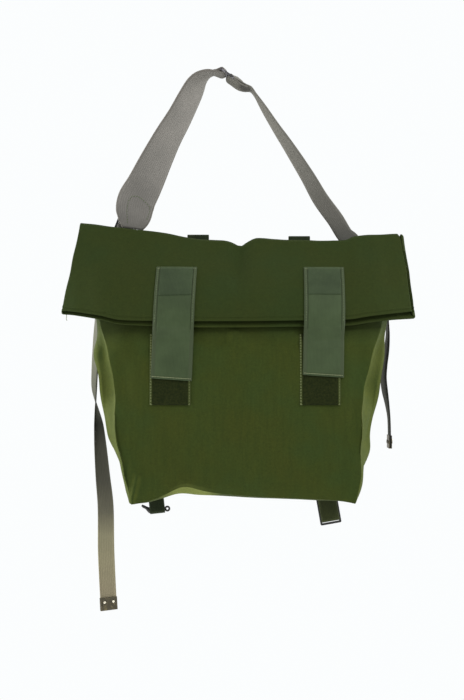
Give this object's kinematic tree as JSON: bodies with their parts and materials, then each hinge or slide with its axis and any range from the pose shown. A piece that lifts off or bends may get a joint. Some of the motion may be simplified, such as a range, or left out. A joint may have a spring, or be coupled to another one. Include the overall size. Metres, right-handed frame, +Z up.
{
  "type": "shoulder bag",
  "caption": "Canvas shoulder bag with a fold-over top held by webbing tabs, hanging by its padded shoulder strap, strap tails hanging free.",
  "frame": {"origin": "underside of the strap where it rests on what holds it up", "axes": "+X to the bag's right as seen from the front, +Y from the front to the back, +Z up"},
  "size_m": [0.421, 0.1165, 0.6711],
  "materials": {
    "canvas": "matt dark green cotton canvas",
    "tab_webbing": "grey-green woven tape",
    "loop_patch": "dark green looped pile",
    "pad_webbing": "grey ribbed cotton webbing",
    "strap_webbing": "grey to tan ribbed cotton webbing, faded unevenly",
    "dark_webbing": "dark olive cotton webbing",
    "dark_metal": "worn black",
    "tip_metal": "worn brown-black with bright rivets"
  },
  "bodies": {
    "root": {"pouch": "canvas", "fold_over_top": "canvas", "tab_left": "tab_webbing", "tab_right": "tab_webbing", "loop_patch_left": "loop_patch", "loop_patch_right": "loop_patch", "top_loop_left": "dark_webbing", "top_loop_right": "dark_webbing", "shoulder_pad": "pad_webbing", "strap_web_left": "strap_webbing", "strap_web_right": "strap_webbing", "strap_slide": "dark_metal", "side_slide_left": "dark_metal", "side_slide_right": "dark_metal", "anchor_tab_left": "dark_webbing", "anchor_tab_right": "dark_webbing", "tail_tip_left": "tip_metal", "tail_tip_right": "tip_metal", "lower_web_left": "dark_webbing", "lower_web_right": "dark_webbing", "lower_buckle_left": "dark_metal", "lower_buckle_right": "dark_metal"}
  },
  "joints": []
}
